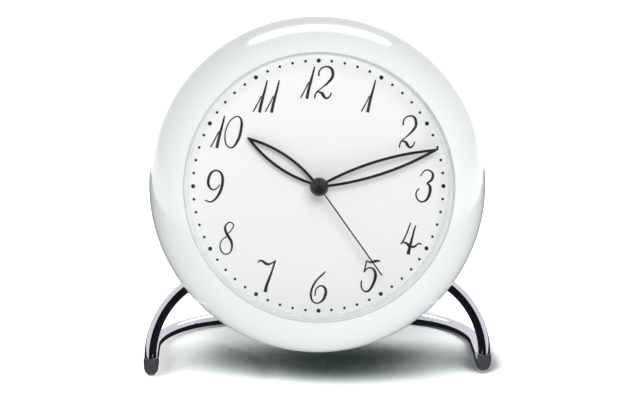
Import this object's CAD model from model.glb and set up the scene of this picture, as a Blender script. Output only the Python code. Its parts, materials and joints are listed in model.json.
import bpy
import bmesh
import json
import math
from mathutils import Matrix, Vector


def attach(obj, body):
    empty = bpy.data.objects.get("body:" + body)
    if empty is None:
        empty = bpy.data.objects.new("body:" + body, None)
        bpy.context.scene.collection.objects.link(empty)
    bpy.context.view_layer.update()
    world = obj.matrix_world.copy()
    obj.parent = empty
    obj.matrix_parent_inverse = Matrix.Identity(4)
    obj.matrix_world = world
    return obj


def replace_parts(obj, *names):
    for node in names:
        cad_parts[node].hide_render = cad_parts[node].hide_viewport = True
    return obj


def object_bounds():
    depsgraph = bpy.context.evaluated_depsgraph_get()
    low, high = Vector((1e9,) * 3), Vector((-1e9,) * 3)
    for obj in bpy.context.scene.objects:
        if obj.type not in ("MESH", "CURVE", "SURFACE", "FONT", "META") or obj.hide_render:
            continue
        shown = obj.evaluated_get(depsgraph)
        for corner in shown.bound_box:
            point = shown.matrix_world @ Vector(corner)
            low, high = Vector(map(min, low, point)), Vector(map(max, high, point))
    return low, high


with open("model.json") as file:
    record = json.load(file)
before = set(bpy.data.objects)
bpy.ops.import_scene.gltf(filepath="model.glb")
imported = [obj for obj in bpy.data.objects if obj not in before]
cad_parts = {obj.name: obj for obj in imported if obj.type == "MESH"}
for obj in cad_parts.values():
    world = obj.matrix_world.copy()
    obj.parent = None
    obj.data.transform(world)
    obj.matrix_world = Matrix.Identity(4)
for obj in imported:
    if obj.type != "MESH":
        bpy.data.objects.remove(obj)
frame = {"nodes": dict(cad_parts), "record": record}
cad_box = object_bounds()

MM = 0.001
SHARP = math.radians(40)

# Driving sizes, with the part's own values: lengths in millimetres, the turn of the corners in degrees
TILT = math.radians(12)
CLEARANCE = 11.0
CASE_R = 55.0
FRONT_DEPTH = 18.0
REAR_DEPTH = 20.0
REAR_ROUND = 16.0
BEZEL_W = 11.8
RIM_LAND = 0.3
GLASS_RISE = 2.0
GLASS_T = 2.0
CAP_R = 3.05
CAP_GAP = 1.15
CAP_CUT = 0.5
HAND_T = 0.4
HAND_LIFT = 1.6
HAND_PITCH = 1.4
WIRE_R = 2.0
SLEEVE_T = 0.3
SOLE_T = 0.3
SOLE_W = 2.6
SOLE_L = 6.0
FOOT_OUT = 0.9
FOOT_BEND = 4.0
FOOT_RUN = 21.0
LEG_BACK = 10.0
LEG_BEND = 29.0
LEG_STRAIGHT = 0.2
SOCKET_DEPTH = 8.0
CORNER_BEND = 29.0
CORNER_TURN = 68.0

# The dial and the stand, worked out from them as the part's source does
GLASS_R = CASE_R - BEZEL_W
CAP_LIFT = HAND_LIFT + 2 * HAND_PITCH + HAND_T + CAP_CUT
DIAL_Z = FRONT_DEPTH - GLASS_T + GLASS_RISE - CAP_GAP - CAP_R - CAP_LIFT
CASE_Z = CLEARANCE + CASE_R
WIRE_Z = WIRE_R + SLEEVE_T + SOLE_T
FOOT_X = CASE_R + FOOT_OUT
SIN_TILT = math.sin(TILT)
COS_TILT = math.cos(TILT)
LEG_TOP = (WIRE_Z - CASE_Z + LEG_BACK * SIN_TILT + FOOT_BEND * (1 + SIN_TILT)) / COS_TILT
ROUND_IN = max(0, LEG_BACK - REAR_DEPTH + REAR_ROUND)
LEG_END_R = CASE_R - REAR_ROUND + math.sqrt(REAR_ROUND ** 2 - ROUND_IN ** 2) + LEG_STRAIGHT
BEND_WAY = math.hypot(FOOT_X - LEG_BEND, LEG_TOP)
LEG_TURN = (math.degrees(math.atan2(LEG_TOP, FOOT_X - LEG_BEND))
            + math.degrees(math.acos((LEG_END_R ** 2 - BEND_WAY ** 2 - LEG_BEND ** 2)
                                     / (2 * LEG_BEND * BEND_WAY))))
LEG_IN = SOCKET_DEPTH + LEG_STRAIGHT
corner = math.radians(CORNER_TURN)
BACK_BEND = (FOOT_X - CORNER_BEND * (1 - math.cos(corner))) / math.cos(corner)
run_from_axis = LEG_TOP * SIN_TILT + (LEG_BACK + FOOT_BEND) * COS_TILT
back_from_axis = (run_from_axis + FOOT_RUN + CORNER_BEND * math.sin(corner)
                  + BACK_BEND * (1 - math.sin(corner)))
front_from_axis = -(GLASS_R * SIN_TILT + FRONT_DEPTH * COS_TILT)
CASE_Y = -(front_from_axis + back_from_axis + WIRE_R + SLEEVE_T) / 2
RUN_Y = CASE_Y + run_from_axis
BACK_Y = CASE_Y + back_from_axis - BACK_BEND


# The case's frame: x right, b up along the dial, c out of the dial
def place(x, b, c):
    """A point of the case's frame, in millimetres, as a point of the part's frame in metres."""
    y = CASE_Y + b * SIN_TILT - c * COS_TILT
    z = CASE_Z + b * COS_TILT + c * SIN_TILT
    return Vector((x, y, z)) * MM


DIAL_RIGHT = Vector((1, 0, 0))
DIAL_UP = Vector((0, SIN_TILT, COS_TILT))
DIAL_OUT = Vector((0, -COS_TILT, SIN_TILT))

# The camera: lens and sensor in millimetres, distance in metres. The distance was chosen, the angles
# come from a fit to the photo that held it and the tilt, and lens and aim were then adjusted by hand.
PHOTO_W = 640
PHOTO_H = 400
LENS = 102.85
SENSOR_W = 36.0
CAMERA_AZIMUTH = math.radians(2.07)
CAMERA_ELEVATION = math.radians(15.17)
CAMERA_DISTANCE = 0.6
TARGET = Vector((0.775, -16.314, 60.83)) * MM
back = Vector((-math.sin(CAMERA_AZIMUTH) * math.cos(CAMERA_ELEVATION),
               -math.cos(CAMERA_AZIMUTH) * math.cos(CAMERA_ELEVATION), math.sin(CAMERA_ELEVATION)))
eye = TARGET + back * CAMERA_DISTANCE


def new_object(name, bm, material, body, smooth=False):
    """A mesh object from bm; it rides body, unless body is None. Edges over SHARP stay sharp."""
    mesh = bpy.data.meshes.new(name)
    bmesh.ops.recalc_face_normals(bm, faces=bm.faces)
    for face in bm.faces:
        face.smooth = smooth
    for edge in bm.edges:
        if len(edge.link_faces) == 2 and edge.calc_face_angle() > SHARP:
            edge.smooth = False
    bm.to_mesh(mesh)
    bm.free()
    mesh.materials.append(material)
    obj = bpy.data.objects.new(name, mesh)
    bpy.context.scene.collection.objects.link(obj)
    if body:
        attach(obj, body)
    return obj


# Materials
NOISE_RANGE = (0.3, 0.7)
RELIEF_DEPTH = 0.0001


def node_of(tree, kind, **values):
    node = tree.nodes.new(kind)
    for key, value in values.items():
        setattr(node, key, value)
    return node


def noise(tree, coords, scale, detail, stretch=(1, 1, 1)):
    mapping = node_of(tree, "ShaderNodeMapping")
    mapping.inputs["Scale"].default_value = stretch
    tree.links.new(coords, mapping.inputs["Vector"])
    tex = node_of(tree, "ShaderNodeTexNoise")
    tex.inputs["Scale"].default_value = scale
    tex.inputs["Detail"].default_value = detail
    tree.links.new(mapping.outputs["Vector"], tex.inputs["Vector"])
    return tex.outputs["Fac"]


def spread(tree, fac, low, high):
    """Stretches a noise over low to high."""
    node = node_of(tree, "ShaderNodeMapRange")
    node.inputs["From Min"].default_value = NOISE_RANGE[0]
    node.inputs["From Max"].default_value = NOISE_RANGE[1]
    node.inputs["To Min"].default_value = low
    node.inputs["To Max"].default_value = high
    tree.links.new(fac, node.inputs["Value"])
    return node.outputs["Result"]


def material(name, colour, rough, metal=0.0, vary=0.03, tone=60, rough_vary=0.12, bump=0.02,
             grain=900, stretch=(1, 1, 1), **sockets):
    """A surface whose colour, gloss and fine relief follow noise in the part's own space."""
    mat = bpy.data.materials.new(name)
    mat.use_nodes = True
    tree = mat.node_tree
    shader = tree.nodes["Principled BSDF"]
    coords = node_of(tree, "ShaderNodeTexCoord").outputs["Object"]
    mix = node_of(tree, "ShaderNodeMix", data_type="RGBA")
    dark = [v * (1 - vary) for v in colour]
    light = [min(1.0, v * (1 + vary)) for v in colour]
    mix.inputs["A"].default_value = (*dark, 1)
    mix.inputs["B"].default_value = (*light, 1)
    tree.links.new(spread(tree, noise(tree, coords, tone, 3), 0, 1), mix.inputs["Factor"])
    tree.links.new(mix.outputs["Result"], shader.inputs["Base Color"])
    fine = noise(tree, coords, grain, 4, stretch)
    low = max(0.0, rough * (1 - rough_vary))
    high = min(1.0, rough * (1 + rough_vary))
    tree.links.new(spread(tree, fine, low, high), shader.inputs["Roughness"])
    relief = node_of(tree, "ShaderNodeBump")
    relief.inputs["Strength"].default_value = bump
    relief.inputs["Distance"].default_value = RELIEF_DEPTH
    tree.links.new(fine, relief.inputs["Height"])
    tree.links.new(relief.outputs["Normal"], shader.inputs["Normal"])
    shader.inputs["Metallic"].default_value = metal
    for key, value in sockets.items():
        shader.inputs[key.replace("_", " ")].default_value = value
    return mat


MATERIALS = {
    "case": material("case_white", (0.80, 0.85, 0.84), 0.16, vary=0.008, bump=0.01, tone=25, grain=350,
                     Coat_Weight=0.5, Coat_Roughness=0.04),
    "case_screw": material("case_screw", (0.52, 0.51, 0.49), 0.30, metal=1.0, grain=2500, bump=0.05),
    "seal": material("seal_white", (0.80, 0.81, 0.81), 0.5, grain=1500, bump=0.05),
    "dial": material("dial_white", (0.86, 0.86, 0.86), 0.55, vary=0.006, tone=40, grain=2200, bump=0.02),
    "carrier": material("carrier", (0.62, 0.62, 0.60), 0.5, bump=0.06),
    "hands": material("hands_black", (0.012, 0.012, 0.013), 0.35, vary=0.15, grain=1800, bump=0.03),
    "cap": material("cap_black", (0.010, 0.010, 0.011), 0.22, vary=0.15, grain=1200, bump=0.02),
    "wire": material("wire_chrome", (0.62, 0.61, 0.70), 0.06, metal=1.0, vary=0.02, tone=120, grain=700,
                     bump=0.01),
    "sleeve": material("sleeve_smoke", (0.30, 0.29, 0.35), 0.16, metal=0.85, vary=0.06, grain=800, bump=0.03),
    "movement": material("movement_black", (0.025, 0.026, 0.028), 0.45, vary=0.1, grain=2600, bump=0.12),
    "plate": material("plate_steel", (0.55, 0.54, 0.51), 0.30, metal=1.0, grain=1200, stretch=(0.04, 1, 1),
                      bump=0.08),
    "small_screw": material("small_screw", (0.60, 0.58, 0.54), 0.28, metal=1.0, grain=3000, bump=0.05),
    "gear": material("gear_plastic", (0.74, 0.71, 0.62), 0.40, vary=0.03, grain=2000, bump=0.04),
    "cannon": material("cannon_brass", (0.72, 0.52, 0.23), 0.26, metal=1.0, grain=2400, bump=0.05),
    "arbor": material("arbor_steel", (0.58, 0.57, 0.56), 0.20, metal=1.0, grain=3000, bump=0.03),
    "magnet": material("magnet", (0.11, 0.11, 0.12), 0.48, metal=0.4, vary=0.1, grain=3500, bump=0.1),
    "lamination": material("lamination", (0.47, 0.46, 0.45), 0.34, metal=1.0, grain=1500,
                           stretch=(1, 1, 0.03), bump=0.1),
    "bobbin": material("bobbin", (0.70, 0.69, 0.66), 0.45, grain=2000, bump=0.05),
    "winding": material("winding_copper", (0.66, 0.30, 0.14), 0.32, metal=0.9, vary=0.12, tone=500,
                        grain=4000, stretch=(1, 0.05, 0.05), bump=0.3),
    "board": material("board_green", (0.03, 0.13, 0.06), 0.35, vary=0.35, tone=380, grain=2500, bump=0.08),
    "blob": material("blob_black", (0.012, 0.012, 0.014), 0.25, vary=0.2, grain=1200, bump=0.06),
    "can": material("can_steel", (0.66, 0.65, 0.63), 0.18, metal=1.0, grain=2500, bump=0.03),
    "battery": material("battery_sleeve", (0.05, 0.07, 0.08), 0.3, vary=0.1, tone=90, grain=900, bump=0.04),
    "contact": material("contact_nickel", (0.62, 0.59, 0.53), 0.24, metal=1.0, grain=2600, bump=0.05),
}
GLASS_EDGE_GREY = material("glass_edge", (0.70, 0.73, 0.73), 0.45, vary=0.05, grain=3000, bump=0.05)
PRINT_BLACK = material("print_black", (0.016, 0.015, 0.016), 0.5, vary=0.2, grain=2600, bump=0.05)


def glass_material():
    """Clear glass that casts no dark shadow on the dial behind it."""
    mat = bpy.data.materials.new("clear_glass")
    mat.use_nodes = True
    tree = mat.node_tree
    shader = tree.nodes["Principled BSDF"]
    shader.inputs["Base Color"].default_value = (0.985, 0.995, 0.99, 1)
    shader.inputs["Transmission Weight"].default_value = 1.0
    shader.inputs["Roughness"].default_value = 0.0
    shader.inputs["IOR"].default_value = 1.5
    path = node_of(tree, "ShaderNodeLightPath")
    either = node_of(tree, "ShaderNodeMath", operation="MAXIMUM")
    tree.links.new(path.outputs["Is Shadow Ray"], either.inputs[0])
    tree.links.new(path.outputs["Is Diffuse Ray"], either.inputs[1])
    clear = node_of(tree, "ShaderNodeBsdfTransparent")
    mix = node_of(tree, "ShaderNodeMixShader")
    tree.links.new(either.outputs[0], mix.inputs["Fac"])
    tree.links.new(shader.outputs["BSDF"], mix.inputs[1])
    tree.links.new(clear.outputs["BSDF"], mix.inputs[2])
    tree.links.new(mix.outputs["Shader"], tree.nodes["Material Output"].inputs["Surface"])
    return mat


MATERIALS["glass"] = glass_material()


THROUGH_R = 47.0


def let_light_through(mat):
    """Near the dial's axis, the white plastic casts no shadow, so that the rim doesn't darken the dial."""
    tree = mat.node_tree
    shader = tree.nodes["Principled BSDF"]
    coords = node_of(tree, "ShaderNodeTexCoord").outputs["Object"]
    offset = node_of(tree, "ShaderNodeVectorMath", operation="SUBTRACT")
    tree.links.new(coords, offset.inputs[0])
    offset.inputs[1].default_value = place(0, 0, 0)
    axis = node_of(tree, "ShaderNodeVectorMath", operation="CROSS_PRODUCT")
    tree.links.new(offset.outputs[0], axis.inputs[0])
    axis.inputs[1].default_value = DIAL_OUT
    away = node_of(tree, "ShaderNodeVectorMath", operation="LENGTH")
    tree.links.new(axis.outputs[0], away.inputs[0])
    near = node_of(tree, "ShaderNodeMath", operation="LESS_THAN")
    tree.links.new(away.outputs["Value"], near.inputs[0])
    near.inputs[1].default_value = THROUGH_R * MM
    path = node_of(tree, "ShaderNodeLightPath")
    both = node_of(tree, "ShaderNodeMath", operation="MULTIPLY")
    tree.links.new(near.outputs[0], both.inputs[0])
    tree.links.new(path.outputs["Is Shadow Ray"], both.inputs[1])
    clear = node_of(tree, "ShaderNodeBsdfTransparent")
    mix = node_of(tree, "ShaderNodeMixShader")
    tree.links.new(both.outputs[0], mix.inputs["Fac"])
    tree.links.new(shader.outputs["BSDF"], mix.inputs[1])
    tree.links.new(clear.outputs["BSDF"], mix.inputs[2])
    tree.links.new(mix.outputs["Shader"], tree.nodes["Material Output"].inputs["Surface"])


for slot in ("case", "seal"):
    let_light_through(MATERIALS[slot])

slot_of = {part["node"]: part["material_slot"] for part in frame["record"]["subparts"]}
for name, cad in frame["nodes"].items():
    cad.data.materials.clear()
    cad.data.materials.append(MATERIALS[slot_of[name]])


# Smooth shapes that take the place of the plain solids: the glass, the wire and its sleeves
def add_ring(bm, points):
    return [bm.verts.new(p) for p in points]


def bridge(bm, rings, closed=False):
    pairs = list(zip(rings, rings[1:]))
    if closed:
        pairs.append((rings[-1], rings[0]))
    for a, b in pairs:
        count = len(a)
        for k in range(count):
            bm.faces.new((a[k], a[(k + 1) % count], b[(k + 1) % count], b[k]))


def lathe(name, profile, material, body, sides=160):
    """Turns a closed profile of (radius, height) about the dial's axis; radius 0 is a pole."""
    bm = bmesh.new()
    rings = []
    for radius, height in profile:
        if radius == 0:
            rings.append([bm.verts.new(place(0, 0, height))])
        else:
            rings.append(add_ring(bm, [place(radius * math.cos(2 * math.pi * i / sides),
                                             radius * math.sin(2 * math.pi * i / sides), height)
                                       for i in range(sides)]))
    for a, b in zip(rings, rings[1:]):
        if len(a) == 1 or len(b) == 1:
            pole, ring = (a[0], b) if len(a) == 1 else (b[0], a)
            for k in range(sides):
                bm.faces.new((pole, ring[k], ring[(k + 1) % sides]))
        else:
            bridge(bm, [a, b])
    return new_object(name, bm, material, body, smooth=True)


GLASS_STEPS = 24
GLASS_EDGE = 0.28
DOME_R = (GLASS_R ** 2 + GLASS_RISE ** 2) / (2 * GLASS_RISE)


def dome(radius, drop):
    """Height of the glass's curve at a radius, drop below its outer face."""
    return FRONT_DEPTH + GLASS_RISE - drop - DOME_R + math.sqrt(DOME_R ** 2 - radius ** 2)


def make_glass():
    """The domed lens, with a grey chamfer round its edge."""
    steps = [(GLASS_R - GLASS_EDGE) * i / GLASS_STEPS for i in range(GLASS_STEPS + 1)]
    outside = [(r, dome(r, 0)) for r in steps] + [(GLASS_R, dome(GLASS_R, 0) - GLASS_EDGE)]
    inside = [(GLASS_R, dome(GLASS_R, GLASS_T))] + [(r, dome(r, GLASS_T)) for r in reversed(steps)]
    glass = lathe("glass_dome", outside + inside, MATERIALS["glass"], "case")
    glass.data.materials.append(GLASS_EDGE_GREY)
    centre = place(0, 0, FRONT_DEPTH)
    rim_r = (GLASS_R - GLASS_EDGE / 2) * MM
    for face in glass.data.polygons:
        rim = [v for v in face.vertices if (glass.data.vertices[v].co - centre).length > rim_r]
        if len(rim) >= 2:
            face.material_index = 1
    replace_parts(glass, "glass")


make_glass()


def arc(centre, radius, start, end, count):
    angles = [math.radians(start + (end - start) * i / count) for i in range(count + 1)]
    return [(centre[0] + radius * math.cos(a), centre[1] + radius * math.sin(a)) for a in angles]


def foot_points(count=14):
    """The wire's middle line round one foot, from the leaning leg to the level run."""
    line = arc((0, 0), FOOT_BEND, 90, 180 + math.degrees(TILT), count)
    return [place(FOOT_X, LEG_TOP + p, q - LEG_BACK - FOOT_BEND) for p, q in line]


def half_line():
    """The right half of the wire's middle line, from inside the case to the middle of the back."""
    centre = (FOOT_X - LEG_BEND, LEG_TOP)
    leg = arc(centre, LEG_BEND, LEG_TURN, 0, 40)
    turn = math.radians(LEG_TURN)
    end = (leg[0][0] - math.sin(turn) * LEG_IN, leg[0][1] + math.cos(turn) * LEG_IN)
    points = [place(x, b, -LEG_BACK) for x, b in [end] + leg[:-1]]
    points += foot_points()
    run = [(FOOT_X, RUN_Y + FOOT_RUN * i / 4) for i in range(1, 4)]
    run += arc((FOOT_X - CORNER_BEND, RUN_Y + FOOT_RUN), CORNER_BEND, 0, CORNER_TURN, 36)
    run += arc((0, BACK_Y), BACK_BEND, CORNER_TURN, 90, 30)[1:]
    return points + [Vector((x, y, WIRE_Z)) * MM for x, y in run]


def tube_rings(bm, points, radius, sides=44):
    """Rings of a round bar along points, with a frame that doesn't twist."""
    rings = []
    normal = None
    for i, p in enumerate(points):
        ahead = points[min(i + 1, len(points) - 1)]
        behind = points[max(i - 1, 0)]
        way = (ahead - behind).normalized()
        if normal is None:
            normal = way.orthogonal().normalized()
        normal = (normal - way * normal.dot(way)).normalized()
        side = way.cross(normal)
        rings.append(add_ring(bm, [p + (normal * math.cos(2 * math.pi * k / sides)
                                        + side * math.sin(2 * math.pi * k / sides)) * radius
                                   for k in range(sides)]))
    return rings


def mirrored(points):
    return [Vector((-p.x, p.y, p.z)) for p in points]


def make_wire():
    bm = bmesh.new()
    right = half_line()
    rings = tube_rings(bm, right + list(reversed(mirrored(right)))[1:], WIRE_R * MM)
    bridge(bm, rings)
    bm.faces.new(rings[0])
    bm.faces.new(rings[-1])
    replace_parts(new_object("chrome_wire", bm, MATERIALS["wire"], "case", smooth=True), "stand_wire")


SLEEVE_PLAY = SLEEVE_T / 8


def make_sleeve(name, node, flip):
    """A thin tube over one foot bend, with a sole that stands on the table."""
    bm = bmesh.new()
    line = foot_points(20)
    line += [Vector((FOOT_X, RUN_Y + SOLE_L * i / 4, WIRE_Z)) * MM for i in range(1, 5)]
    if flip:
        line = mirrored(line)
    outer = tube_rings(bm, line, (WIRE_R + SLEEVE_T) * MM)
    inner = tube_rings(bm, line, (WIRE_R + SLEEVE_PLAY) * MM)
    bridge(bm, outer)
    bridge(bm, inner)
    bridge(bm, [outer[0], inner[0]])
    bridge(bm, [outer[-1], inner[-1]])
    x = -FOOT_X if flip else FOOT_X
    outline = [(x + SOLE_W / 2 * math.cos(a), RUN_Y + SOLE_W / 2 * math.sin(a))
               for a in [math.pi + math.pi * i / 16 for i in range(17)]]
    outline += [(x + SOLE_W / 2, RUN_Y + SOLE_L), (x - SOLE_W / 2, RUN_Y + SOLE_L)]
    sole_top = SLEEVE_T + WIRE_R - math.sqrt(WIRE_R ** 2 - SOLE_W ** 2 / 4)
    layers = [add_ring(bm, [Vector((px, py, z)) * MM for px, py in outline]) for z in (0, sole_top)]
    bridge(bm, layers)
    for layer in layers:
        bm.faces.new(layer)
    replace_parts(new_object(name, bm, MATERIALS["sleeve"], "case", smooth=True), node)


make_wire()
make_sleeve("smoke_sleeve_left", "foot_sleeve_left", True)
make_sleeve("smoke_sleeve_right", "foot_sleeve_right", False)


# The dial's printed figures, read by eye off enlarged crops of the photo: the middle line of each
# stroke as (x, y, width), in the photo's pixels
TRACED = {
    "1": [
        [(315.6, 66.3, 1.5), (313.5, 75, 2.2), (311.3, 83, 2.7), (309.3, 91, 2.9), (307.7, 98.6, 3.1)],
        [(301.5, 97.8, 1.4), (304.5, 92.3, 1.4), (307.3, 87, 1.3), (309.7, 82, 1.3)],
    ],
    "2": [
        [(319.9, 75.8, 1.9), (319.8, 73, 1.8), (320.6, 70.5, 1.6), (322.3, 68.3, 1.5),
         (325, 66.9, 1.5), (328, 66.4, 1.6), (331, 67.3, 2.2), (333, 69.5, 2.8), (333.7, 72.5, 3),
         (333.6, 75.8, 3), (332.2, 78.7, 2.8), (329.8, 81.6, 2.4), (327, 84.2, 1.9), (324, 86.7, 1.4),
         (321, 89, 1.3), (318.5, 91, 1.6), (316.5, 94, 1.6), (315.4, 98.2, 1.5)],
        [(318.6, 91.6, 1.6), (320.5, 91.9, 1.9), (322.8, 93, 3), (324.3, 95.3, 3.2),
         (325.8, 97.4, 2.4), (327.4, 98, 2), (329.6, 97.1, 1.8), (331.2, 95.2, 1.5), (332.2, 92.2, 1.5)],
    ],
    "3": [
        [(421.25, 175.75, 1.2), (422.9, 172.9, 1.3), (425.5, 170.2, 1.4), (428.3, 169.5, 1.4),
         (431.1, 170.6, 1.7), (433, 172.5, 2.2), (433.6, 175.1, 2.7), (432.9, 178.2, 2.6),
         (431.1, 180.4, 2.3), (428.9, 181.9, 1.9), (427.4, 182.5, 1.6)],
        [(427.4, 183, 1.6), (429.4, 184.2, 2), (430.6, 186.1, 2.8), (430.9, 188.6, 3),
         (430.5, 192, 2.9), (429.4, 195.4, 2.8), (427.7, 198.6, 2.5), (425.2, 200.6, 2),
         (422.4, 201.4, 1.6), (419.6, 200.1, 1.5), (417.7, 197.9, 1.5), (416.6, 194.5, 1.5),
         (417.1, 191.7, 1.4), (418.3, 189.6, 1.4), (420, 187.9, 1.3)],
    ],
    "4": [
        [(411.6, 221.9, 1.3), (409.9, 225.9, 1.4), (408.1, 231.3, 1.5), (405.9, 236.3, 1.5),
         (404, 240, 1.6), (401.5, 243.6, 1.2)],
        [(401.5, 243.4, 1.3), (403.1, 241.9, 1.6), (404.6, 241.6, 1.5), (407.8, 243.1, 2.5),
         (409.6, 245, 2.9), (411.8, 245.9, 2.6), (414, 246.3, 2.3), (416.2, 245.3, 1.9),
         (417.8, 243.8, 1.6), (419.6, 242.8, 1.5), (420.9, 243.1, 1.6), (421.8, 244.1, 1.6)],
        [(416.5, 224.7, 1.3), (414.6, 230.3, 1.9), (413.1, 236.3, 2.1), (411.8, 241.3, 2.5),
         (410.3, 246.9, 2.9), (408.8, 253.8, 3.8)],
    ],
    "5": [
        [(367.7, 259.8, 1), (369.3, 260.9, 1.6), (371.4, 261.7, 2), (373.6, 261.1, 2.2),
         (376.8, 260.4, 2.9), (378.9, 260, 1.8), (380.8, 260.9, 1.8)],
        [(367.7, 259.8, 1.6), (366.4, 264.5, 1.5), (365, 271.7, 1.6)],
        [(365.2, 271.1, 1.4), (367.4, 268.3, 1.4), (370.8, 267, 1.5), (373.6, 267.9, 1.8),
         (375.5, 270.4, 2.6), (376.3, 273.6, 3), (376.1, 276.4, 3), (375.2, 280.1, 2.9),
         (373.6, 283.9, 2.8), (371.8, 287.3, 2.5), (369.6, 289.8, 2.1), (366.8, 290.9, 1.8),
         (364.3, 289.8, 1.5), (362.7, 287.6, 1.6), (361.9, 283.9, 1.6), (362.5, 279.8, 1.5)],
    ],
    "6": [
        [(326.5, 270.8, 1.2), (323.3, 273.9, 1.6), (319.5, 277.4, 1.7), (316.4, 281.1, 1.9),
         (313.6, 286.1, 2.1), (312.1, 290.5, 2.2), (311.8, 294.3, 2.3), (312.6, 298.6, 2),
         (314.8, 301.4, 1.6), (318.3, 302.4, 1.5), (321.7, 301.1, 1.9), (324.5, 298.3, 2.6),
         (326.4, 293.6, 2.9), (326.7, 289.9, 2.8), (325.4, 286.8, 2.3), (322.6, 285, 1.6),
         (319.2, 286.1, 1.5), (317, 288.6, 1.4), (316.1, 291.8, 1.4), (315.9, 294.9, 1.5)],
    ],
    "7": [
        [(258.9, 262, 1.2), (260.8, 260.1, 1.8), (262.9, 260.1, 2), (265.1, 261.5, 2.6),
         (267.3, 263.1, 2.9), (269.5, 263.6, 2.4), (272, 262.8, 1.6), (274.2, 261.7, 1.5),
         (277, 259.6, 1.2)],
        [(277, 259.6, 1.1), (275.4, 262.9, 1.8), (272.9, 270.8, 2), (270.1, 278.3, 2.6),
         (267.6, 285.1, 3), (266.2, 291.4, 3.7)],
    ],
    "8": [
        [(229.9, 232.4, 1.2), (232.4, 229.6, 1.3), (234.4, 226.2, 1.3), (234.4, 223.7, 1.3),
         (231.2, 221.5, 1.3), (227.8, 223.7, 1.6), (226.2, 226.5, 2.1), (226.5, 229.6, 2.5),
         (227.8, 232.8, 2.7), (229.6, 235.9, 2.8), (231.5, 239, 2.8), (232.8, 242.1, 2.5),
         (233.2, 245.9, 2.1), (232.1, 250.3, 1.6), (229.6, 252.8, 1.4), (226.5, 253.5, 1.4),
         (223.4, 251.8, 1.3), (221.5, 248.1, 1.4), (221.3, 244.3, 1.3), (222.4, 240.6, 1.3),
         (224.9, 237.8, 1.2), (227.4, 236.2, 1.2)],
    ],
    "9": [
        [(221.1, 184.2, 1.2), (218.9, 187, 1.3), (216.1, 188.9, 1.5), (213.9, 189.3, 1.5),
         (211.8, 187.9, 2), (210, 185.1, 2.6), (209.4, 181.7, 2.8), (210, 177.3, 2.7),
         (211.8, 173.3, 2.4), (214.6, 170.8, 2), (218, 170, 1.7), (221.4, 171.7, 2),
         (223.3, 175.1, 2.6), (223.9, 179.5, 3), (223.3, 185.1, 3), (221.8, 190.1, 2.9),
         (219.6, 194.5, 2.5), (216.8, 198.3, 2.1), (213.6, 200.8, 1.7), (210.5, 201.3, 1.5),
         (208, 200.4, 1.4), (206.1, 199.4, 1.1)],
    ],
    "0": [
        [(237.8, 116, 1.3), (240.6, 116.8, 1.6), (242.4, 119.6, 2.2), (242.9, 123.9, 2.7),
         (242.1, 129.9, 2.8), (240.6, 136.1, 2.8), (238.4, 141.1, 2.6), (235.3, 145.8, 2),
         (232.1, 147.4, 1.5), (228.7, 145.8, 1.5), (226.8, 142.4, 1.5), (226.1, 137.4, 1.4),
         (226.5, 131.8, 1.3), (228.1, 126.4, 1.3), (230.9, 121.1, 1.3), (234.3, 117.7, 1.3)],
    ],
}
# The middle of each printed figure in the photo's pixels, and its width as a share of the traced one.
# Where the middle is None, the figure is printed where it was traced.
FIGURES = [
    ("1", 308.55, 82.45, 1),
    ("1", 218.75, 131.65, 1),
    ("1", 261.35, 96.15, 1),
    ("1", 273.35, 96.25, 1),
    ("1", 369.25, 95.95, 1),
    ("2", 324.55, 82.3, 1),
    ("2", 408.3, 131.4, 0.92),
]
FIGURES += [(glyph, None, None, 1) for glyph in "34567890"]
CLOSED_FIGURES = "80"
RING_CENTRE_PIXEL = (319.54, 185.61)
PRINT_FOOT = 0.002
PRINT_LIFT = 0.03
STROKE_STEP = 0.004
DOT_COUNT = 60
DOTS_PER_HOUR = 5
DOT_RING = 40.3
PRINT_TURN = math.radians(0.48)
HOUR_DOT_R = 0.68
MINUTE_DOT_R = 0.45


def on_dial(x, y):
    """What point of the dial the photo shows at pixel (x, y): right and up, in millimetres."""
    ahead = -back
    across = ahead.cross(Vector((0, 0, 1))).normalized()
    upward = across.cross(ahead)
    pixel = SENSOR_W / PHOTO_W
    way = ahead * LENS + across * (x - PHOTO_W / 2) * pixel + upward * (PHOTO_H / 2 - y) * pixel
    start = eye - place(0, 0, DIAL_Z)
    hit = start - way * (start.dot(DIAL_OUT) / way.dot(DIAL_OUT))
    return hit.dot(DIAL_RIGHT) / MM, hit.dot(DIAL_UP) / MM


def middle_of(glyph):
    points = [p for stroke in TRACED[glyph] for p in stroke]
    return [(min(p[k] for p in points) + max(p[k] for p in points)) / 2 for k in (0, 1)]


def stroke_on_dial(stroke, glyph):
    """A traced stroke as (right, up, width) in millimetres, from the figure's middle."""
    middle = on_dial(*middle_of(glyph))
    line = []
    for x, y, width in stroke:
        right, up = on_dial(x, y)
        pixel = on_dial(x + 1, y)[0] - right
        line.append((right - middle[0], up - middle[1], width * pixel))
    return line


def smooth_line(points, steps=6):
    """A spline through the points, widths included."""
    rows = [Vector(p) for p in points]
    rows = [rows[0] * 2 - rows[1]] + rows + [rows[-1] * 2 - rows[-2]]
    line = []
    for i in range(1, len(rows) - 2):
        p0, p1, p2, p3 = rows[i - 1:i + 3]
        for k in range(steps):
            t = k / steps
            line.append(0.5 * ((2 * p1) + (p2 - p0) * t + (2 * p0 - 5 * p1 + 4 * p2 - p3) * t * t
                               + (3 * p1 - p0 - 3 * p2 + p3) * t * t * t))
    line.append(rows[-2])
    return line


def stroke_sides(points):
    """The two edges of a stroke, half its width to each side of its middle line."""
    line = smooth_line(points)
    left = []
    right = []
    for i, p in enumerate(line):
        ahead = line[min(i + 1, len(line) - 1)]
        behind = line[max(i - 1, 0)]
        run = Vector((ahead.x - behind.x, ahead.y - behind.y)).normalized()
        side = Vector((-run.y, run.x)) * p.z / 2
        left.append((p.x + side.x, p.y + side.y))
        right.append((p.x - side.x, p.y - side.y))
    return left, right


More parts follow.
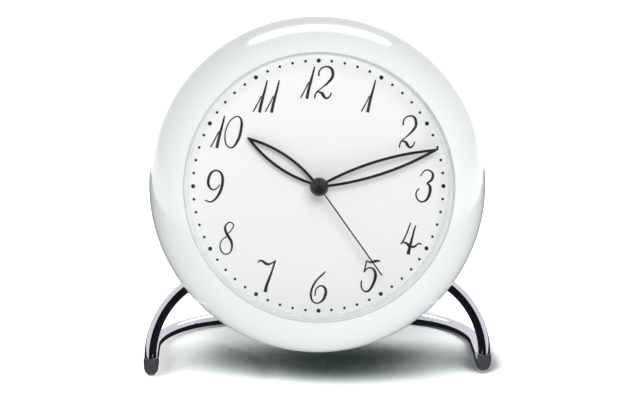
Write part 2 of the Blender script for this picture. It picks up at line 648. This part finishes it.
def add_strip(bm, left, right, low, high):
    """A thin closed solid over a strip of the dial, from height low to height high."""
    rings = []
    for l, r in zip(left, right):
        rings.append([bm.verts.new(place(*q)) for q in ((*l, high), (*r, high), (*r, low), (*l, low))])
    for a, b in zip(rings, rings[1:]):
        for k in range(4):
            bm.faces.new((a[k], a[(k + 1) % 4], b[(k + 1) % 4], b[k]))
    bm.faces.new(rings[0])
    bm.faces.new(rings[-1])


def add_disc(bm, x, y, r, low, high, sides=24):
    rings = []
    for z in (high, low):
        rings.append([bm.verts.new(place(x + r * math.cos(2 * math.pi * i / sides),
                                         y + r * math.sin(2 * math.pi * i / sides), z))
                      for i in range(sides)])
    for i in range(sides):
        j = (i + 1) % sides
        bm.faces.new((rings[0][i], rings[0][j], rings[1][j], rings[1][i]))
    bm.faces.new(rings[0])
    bm.faces.new(rings[1])


def print_figures():
    bm = bmesh.new()
    centre = on_dial(*RING_CENTRE_PIXEL)
    for glyph, x, y, share in FIGURES:
        middle = on_dial(*(middle_of(glyph) if x is None else (x, y)))
        dx = middle[0] - centre[0]
        dy = middle[1] - centre[1]
        for i, stroke in enumerate(TRACED[glyph]):
            if glyph in CLOSED_FIGURES:
                stroke = stroke + stroke[:1]
            sides = stroke_sides(stroke_on_dial(stroke, glyph))
            left, right = [[(dx + p * share, dy + q) for p, q in side] for side in sides]
            # each stroke lies a little higher than the one before, so that no two faces coincide
            add_strip(bm, left, right, DIAL_Z + PRINT_FOOT, DIAL_Z + PRINT_LIFT + i * STROKE_STEP)
    new_object("dial_figures", bm, PRINT_BLACK, "case")


def print_dots():
    bm = bmesh.new()
    for i in range(DOT_COUNT):
        angle = 2 * math.pi * i / DOT_COUNT + PRINT_TURN
        r = MINUTE_DOT_R if i % DOTS_PER_HOUR else HOUR_DOT_R
        add_disc(bm, DOT_RING * math.sin(angle), DOT_RING * math.cos(angle), r, DIAL_Z + PRINT_FOOT,
                 DIAL_Z + PRINT_LIFT)
    new_object("dial_dots", bm, PRINT_BLACK, "case")


print_figures()
print_dots()


# Studio, in metres
GLOW_CENTRE_X = 0.008
GLOW_SHAPE = (1.15, 0.8, 1)
FLOOR_NEAR = 0.042
FLOOR_FAR = 0.088
SHADE_TURN = math.radians(-20)
SHADE_RISE = math.radians(20)
SHADE_REACH = 0.04
SHADE_TINT = (0.035, 0.05, 0.05, 1)
SHADE_RANGE = (0.71, 0.905)
FLOOR_SEEN = (1.55, 1.62, 1.61, 1)
FLOOR_GIVEN = (1.15, 1.6)
FLOOR_GIVEN_Y = (-0.06, -0.02)
SHADE_SAMPLES = 24
FLOOR_SIZE = 12.0


def surface(name, points, mat):
    bm = bmesh.new()
    bm.faces.new([bm.verts.new(p) for p in points])
    obj = new_object(name, bm, mat, None)
    return obj


def ramp(tree, value, low, high, to_low=0.0, to_high=1.0):
    node = node_of(tree, "ShaderNodeMapRange", interpolation_type="SMOOTHSTEP")
    node.inputs["From Min"].default_value = low
    node.inputs["From Max"].default_value = high
    node.inputs["To Min"].default_value = to_low
    node.inputs["To Max"].default_value = to_high
    tree.links.new(value, node.inputs["Value"])
    return node.outputs["Result"]


def floor_material():
    """White paper. The camera sees the lamps' shadows on it, a contact shade under the clock and,
    farther out, a white glow. All other rays meet an even light, stronger behind the clock's front."""
    mat = bpy.data.materials.new("floor_white")
    mat.use_nodes = True
    tree = mat.node_tree
    tree.nodes.remove(tree.nodes["Principled BSDF"])
    coords = node_of(tree, "ShaderNodeTexCoord").outputs["Object"]
    path = node_of(tree, "ShaderNodeLightPath")
    corner = node_of(tree, "ShaderNodeAmbientOcclusion", samples=SHADE_SAMPLES)
    corner.inputs["Distance"].default_value = SHADE_REACH
    toward = node_of(tree, "ShaderNodeCombineXYZ")
    toward.inputs["X"].default_value = math.sin(SHADE_TURN) * math.cos(SHADE_RISE)
    toward.inputs["Y"].default_value = -math.cos(SHADE_TURN) * math.cos(SHADE_RISE)
    toward.inputs["Z"].default_value = math.sin(SHADE_RISE)
    tree.links.new(toward.outputs[0], corner.inputs["Normal"])
    shade = node_of(tree, "ShaderNodeMix", data_type="RGBA")
    shade.inputs["A"].default_value = SHADE_TINT
    shade.inputs["B"].default_value = FLOOR_SEEN
    tree.links.new(ramp(tree, corner.outputs["AO"], *SHADE_RANGE), shade.inputs["Factor"])
    seen = node_of(tree, "ShaderNodeBsdfDiffuse")
    tree.links.new(shade.outputs["Result"], seen.inputs["Color"])
    away = node_of(tree, "ShaderNodeVectorMath", operation="LENGTH")
    oval = node_of(tree, "ShaderNodeMapping")
    oval.inputs["Location"].default_value = (-GLOW_CENTRE_X * GLOW_SHAPE[0], 0, 0)
    oval.inputs["Scale"].default_value = GLOW_SHAPE
    tree.links.new(coords, oval.inputs["Vector"])
    tree.links.new(oval.outputs["Vector"], away.inputs[0])
    glow = node_of(tree, "ShaderNodeEmission")
    tree.links.new(ramp(tree, away.outputs["Value"], FLOOR_NEAR, FLOOR_FAR), glow.inputs["Strength"])
    both = node_of(tree, "ShaderNodeAddShader")
    tree.links.new(seen.outputs[0], both.inputs[0])
    tree.links.new(glow.outputs[0], both.inputs[1])
    split = node_of(tree, "ShaderNodeSeparateXYZ")
    tree.links.new(coords, split.inputs[0])
    given = node_of(tree, "ShaderNodeEmission")
    tree.links.new(ramp(tree, split.outputs["Y"], *FLOOR_GIVEN_Y, *FLOOR_GIVEN), given.inputs["Strength"])
    mix = node_of(tree, "ShaderNodeMixShader")
    tree.links.new(path.outputs["Is Camera Ray"], mix.inputs["Fac"])
    tree.links.new(given.outputs[0], mix.inputs[1])
    tree.links.new(both.outputs[0], mix.inputs[2])
    tree.links.new(mix.outputs[0], tree.nodes["Material Output"].inputs["Surface"])
    return mat


surface("floor", [(-FLOOR_SIZE, -FLOOR_SIZE, 0), (FLOOR_SIZE, -FLOOR_SIZE, 0),
                  (FLOOR_SIZE, FLOOR_SIZE, 0), (-FLOOR_SIZE, FLOOR_SIZE, 0)], floor_material())


def lamp(name, azimuth, elevation, distance, size, power):
    """A soft box aimed at the clock: azimuth 0 is in front, and 90 is to the viewer's right."""
    data = bpy.data.lights.new(name, "AREA")
    data.shape = "RECTANGLE"
    data.size, data.size_y = size
    data.energy = power
    obj = bpy.data.objects.new(name, data)
    az = math.radians(azimuth)
    el = math.radians(elevation)
    way = Vector((math.sin(az) * math.cos(el), -math.cos(az) * math.cos(el), math.sin(el)))
    obj.location = LAMP_AIM + way * distance
    obj.rotation_euler = (-way).to_track_quat("-Z", "Y").to_euler()
    obj.visible_glossy = False
    bpy.context.scene.collection.objects.link(obj)


LAMP_AIM = Vector((0.0, -0.01, 0.05))
lamp("key_softbox", azimuth=8, elevation=36, distance=1.2, size=(0.75, 0.50), power=8.2)
lamp("top_softbox", azimuth=0, elevation=62, distance=1.2, size=(1.0, 0.6), power=2.4)


CARD_COLOUR = (0.5, 0.5, 0.55)
CARD_GLOW = 0.02
CARD_Y = -0.45
CARD_BACK_Y = 0.30
CARD_HALF_W = 0.30
CARD_TOP = 0.55
CARD_FOOT = 0.0005
FLOOR_CARD_Z = 0.0004


def only_in_reflections(obj):
    obj.visible_camera = False
    obj.visible_diffuse = False
    obj.visible_shadow = False
    obj.visible_volume_scatter = False


def card(name, points):
    """A near-black card that only reflections and the glass show, as beside a real set."""
    mat = bpy.data.materials.new(name)
    mat.use_nodes = True
    tree = mat.node_tree
    tree.nodes.remove(tree.nodes["Principled BSDF"])
    glow = node_of(tree, "ShaderNodeEmission")
    glow.inputs["Color"].default_value = (*CARD_COLOUR, 1)
    glow.inputs["Strength"].default_value = CARD_GLOW
    tree.links.new(glow.outputs[0], tree.nodes["Material Output"].inputs["Surface"])
    only_in_reflections(surface(name, points, mat))


card("front_black_card", [(-CARD_HALF_W, CARD_Y, CARD_FOOT), (CARD_HALF_W, CARD_Y, CARD_FOOT),
                          (CARD_HALF_W, CARD_Y, CARD_TOP), (-CARD_HALF_W, CARD_Y, CARD_TOP)])
card("floor_black_card", [(-CARD_HALF_W, CARD_Y, FLOOR_CARD_Z), (CARD_HALF_W, CARD_Y, FLOOR_CARD_Z),
                          (CARD_HALF_W, CARD_BACK_Y, FLOOR_CARD_Z),
                          (-CARD_HALF_W, CARD_BACK_Y, FLOOR_CARD_Z)])

# The long soft light over the bezel: each corner lies where the camera sees it mirrored
BEZEL_ARC_W = BEZEL_W - RIM_LAND
BEZEL_ROUND = (BEZEL_ARC_W ** 2 + FRONT_DEPTH ** 2) / (2 * BEZEL_ARC_W)
STRIP_HEIGHT = 1.0
STRIP_GLOW = 12.0
STRIP_SOFT_SHARES = (0.12, 0.3)
STRIP_ANGLES = (-27.5, 28.7)
STRIP_DEPTHS = (31.4, 43.7)
STRIP_COLS = 36
STRIP_ROWS = 8


def mirrored_at(turn, lean):
    """Where the ray from the eye to a point of the bezel goes, at the strip's height."""
    turn = math.radians(turn)
    lean = math.radians(lean)
    ring = CASE_R - BEZEL_ROUND + BEZEL_ROUND * math.cos(lean)
    p = place(ring * math.sin(turn), ring * math.cos(turn), BEZEL_ROUND * math.sin(lean))
    out = place(math.cos(lean) * math.sin(turn), math.cos(lean) * math.cos(turn), math.sin(lean))
    out = (out - place(0, 0, 0)).normalized()
    way = (p - eye).normalized()
    way = way - out * 2 * way.dot(out)
    return p + way * ((STRIP_HEIGHT - p.z) / way.z)


def fade(t, soft):
    """0 at both ends of 0..1, 1 between, over a soft edge."""
    t = min(t, 1 - t) / soft
    t = min(max(t, 0.0), 1.0)
    return t * t * (3 - 2 * t)


def strip_light_material():
    """A light whose strength follows the mesh's level attribute, for its soft edges."""
    mat = bpy.data.materials.new("strip_light")
    mat.use_nodes = True
    tree = mat.node_tree
    tree.nodes.remove(tree.nodes["Principled BSDF"])
    glow = node_of(tree, "ShaderNodeEmission")
    glow.inputs["Strength"].default_value = STRIP_GLOW
    level = node_of(tree, "ShaderNodeAttribute", attribute_name="level")
    tree.links.new(level.outputs["Color"], glow.inputs["Color"])
    tree.links.new(glow.outputs[0], tree.nodes["Material Output"].inputs["Surface"])
    return mat


def make_strip_light():
    bm = bmesh.new()
    layer = bm.verts.layers.float_color.new("level")
    grid = []
    for i in range(STRIP_COLS + 1):
        column = []
        for k in range(STRIP_ROWS + 1):
            u = i / STRIP_COLS
            v = k / STRIP_ROWS
            turn = STRIP_ANGLES[0] + u * (STRIP_ANGLES[1] - STRIP_ANGLES[0])
            lean = STRIP_DEPTHS[0] + v * (STRIP_DEPTHS[1] - STRIP_DEPTHS[0])
            vert = bm.verts.new(mirrored_at(turn, lean))
            level = fade(u, STRIP_SOFT_SHARES[0]) * fade(v, STRIP_SOFT_SHARES[1])
            vert[layer] = (level, level, level, 1)
            column.append(vert)
        grid.append(column)
    for a, b in zip(grid, grid[1:]):
        for k in range(STRIP_ROWS):
            bm.faces.new((a[k], a[k + 1], b[k + 1], b[k]))
    strip = new_object("strip_light", bm, strip_light_material(), None)
    only_in_reflections(strip)


make_strip_light()

# The surround is white where it is seen directly, in reflections or through the glass, and dim otherwise
WORLD_DIM = 0.20
WORLD_WHITE = 1.0
world = bpy.data.worlds.new("studio")
bpy.context.scene.world = world
world.use_nodes = True
tree = world.node_tree
background = tree.nodes["Background"]
path = node_of(tree, "ShaderNodeLightPath")
either = path.outputs["Is Camera Ray"]
for output in ("Is Glossy Ray", "Is Transmission Ray"):
    step = node_of(tree, "ShaderNodeMath", operation="MAXIMUM")
    tree.links.new(either, step.inputs[0])
    tree.links.new(path.outputs[output], step.inputs[1])
    either = step.outputs[0]
level = node_of(tree, "ShaderNodeMapRange")
level.inputs["To Min"].default_value = WORLD_DIM
level.inputs["To Max"].default_value = WORLD_WHITE
tree.links.new(either, level.inputs["Value"])
tree.links.new(level.outputs["Result"], background.inputs["Strength"])
background.inputs["Color"].default_value = (1, 1, 1, 1)

# Camera, at the photograph's viewing angle
camera_data = bpy.data.cameras.new("camera")
camera_data.lens = LENS
camera_data.sensor_width = SENSOR_W
camera = bpy.data.objects.new("camera", camera_data)
camera.location = eye
camera.rotation_euler = (-back).to_track_quat("-Z", "Y").to_euler()
bpy.context.scene.collection.objects.link(camera)
bpy.context.scene.camera = camera
bpy.context.scene.view_settings.view_transform = "Standard"

cad = [list(v) for v in cad_box]
